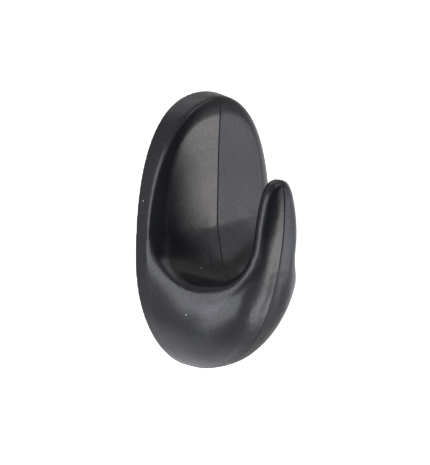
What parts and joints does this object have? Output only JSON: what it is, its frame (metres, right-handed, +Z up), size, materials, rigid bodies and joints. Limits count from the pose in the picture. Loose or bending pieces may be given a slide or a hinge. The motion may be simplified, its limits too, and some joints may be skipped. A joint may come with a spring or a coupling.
{
  "type": "adhesive wall hook",
  "caption": "Egg-shaped flat-backed plastic wall hook with an upright rounded finger and a foam adhesive pad on its back.",
  "frame": {"origin": "middle of the adhesive pad's face on the wall", "axes": "+Y into the wall, hook faces -Y, +Z up, +X to the right of someone facing the hook"},
  "size_m": [0.0352, 0.0297, 0.061],
  "materials": {
    "moulding": "satin black",
    "foam": "matt closed-cell foam"
  },
  "bodies": {
    "root": {"hook_body": "moulding", "adhesive_pad": "foam"}
  },
  "joints": []
}
